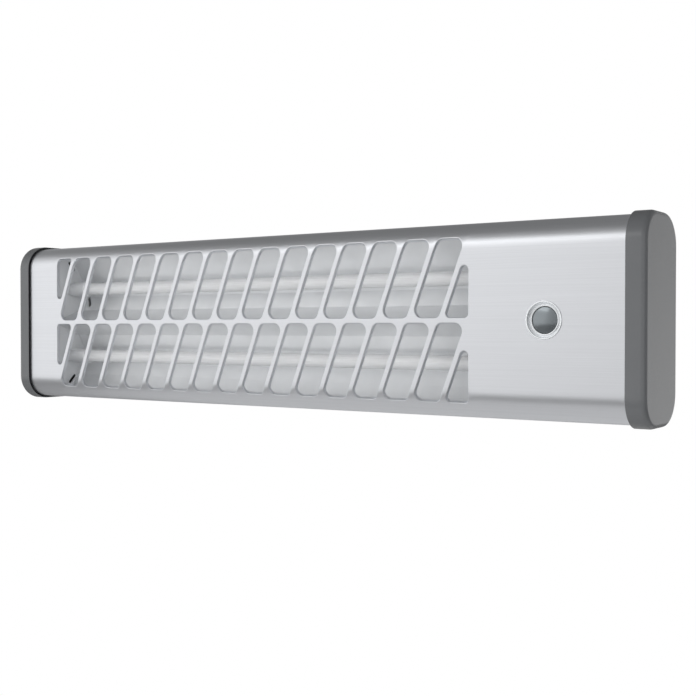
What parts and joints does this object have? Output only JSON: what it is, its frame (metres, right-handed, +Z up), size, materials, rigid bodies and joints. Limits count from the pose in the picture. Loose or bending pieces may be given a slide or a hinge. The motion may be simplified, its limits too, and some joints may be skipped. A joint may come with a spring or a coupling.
{
  "type": "quartz heater",
  "caption": "Wall-mounted quartz tube radiant heater with slanted grille slots, grey end caps, a round push button and a tilting wall bracket.",
  "frame": {"origin": "centre of the wall plate's rear face, on the wall", "axes": "+Z up, +X to the right along the heater as seen from the room, +Y into the wall; the grille looks along -Y"},
  "size_m": [0.57, 0.108, 0.135],
  "materials": {
    "bracket_steel": "grey powder coat, fine orange peel",
    "brushed_aluminium": "anodised, fine brushing along the length",
    "zinc_sheet": "zinc-plated sheet with faint spangle",
    "cap_plastic": "moulded satin plastic, fine spark-eroded grain",
    "bright_aluminium": "bright-rolled reflector sheet, soft sheen",
    "milky_quartz": "milky satin quartz",
    "resistance_wire": "oxidised heating alloy",
    "white_ceramic": "unglazed steatite, slightly chalky",
    "nickel_pin": "nickel plating",
    "satin_chrome": "satin chrome with a bright rim",
    "dark_gloss_button": "domed, polished",
    "white_nylon": "natural nylon",
    "spring_wire": "drawn spring wire",
    "black_nylon": "black nylon, slight grain",
    "brass": "machined brass",
    "sleeve_brown": "heat-proof sleeve",
    "sleeve_red": "heat-proof sleeve",
    "sleeve_glass": "woven glass-fibre sleeve",
    "sleeve_earth": "green and yellow sleeve",
    "zinc_screw": "zinc-plated, satin"
  },
  "bodies": {
    "wall_bracket": {"wall_plate": "bracket_steel"},
    "heater": {"housing": "brushed_aluminium", "back_cover": "zinc_sheet", "end_cap_left": "cap_plastic", "end_cap_right": "cap_plastic", "reflector": "bright_aluminium", "reflector_end_left": "bright_aluminium", "reflector_end_right": "bright_aluminium", "quartz_tube_upper": "milky_quartz", "quartz_tube_lower": "milky_quartz", "heating_coil_upper": "resistance_wire", "heating_coil_lower": "resistance_wire", "ceramic_upper_left": "white_ceramic", "ceramic_upper_right": "white_ceramic", "ceramic_lower_left": "white_ceramic", "ceramic_lower_right": "white_ceramic", "ceramic_clips": "zinc_sheet", "element_pins": "nickel_pin", "lead_crimps": "nickel_pin", "button_bezel": "satin_chrome", "bezel_nut": "nickel_pin", "button_spring": "spring_wire", "switch_body": "black_nylon", "switch_blades": "brass", "thermal_cutout": "black_nylon", "terminal_block": "white_nylon", "terminal_screws": "brass", "lead_supply": "sleeve_brown", "lead_cutout": "sleeve_red", "lead_upper": "sleeve_glass", "lead_lower": "sleeve_glass", "lead_bridge": "sleeve_glass", "lead_return": "sleeve_glass", "lead_earth": "sleeve_earth", "cable_gland": "black_nylon", "gland_nut": "black_nylon", "earth_screw": "brass", "cover_screws": "zinc_screw", "cap_screws": "zinc_screw", "hinge_bracket_left": "bracket_steel", "hinge_bracket_right": "bracket_steel", "bracket_screws": "zinc_screw", "pivot_bolt_left": "zinc_screw", "pivot_bolt_right": "zinc_screw", "tilt_knob_left": "black_nylon", "tilt_knob_right": "black_nylon", "friction_washers": "black_nylon", "knob_washers": "zinc_screw"},
    "button": {"button_cap": "dark_gloss_button", "button_stem": "white_nylon"}
  },
  "joints": [
    {"name": "tilt", "type": "hinge", "parent": "wall_bracket", "child": "heater", "pos_m": [0, -0.032, 0], "axis": [1, 0, 0], "range_deg": [0, 40]},
    {"name": "button_press", "type": "slide", "parent": "heater", "child": "button", "axis": [0, 1, 0], "range_m": [0, 0.0025], "stiffness_N_per_m": 800, "deforming": ["button_spring"]}
  ]
}
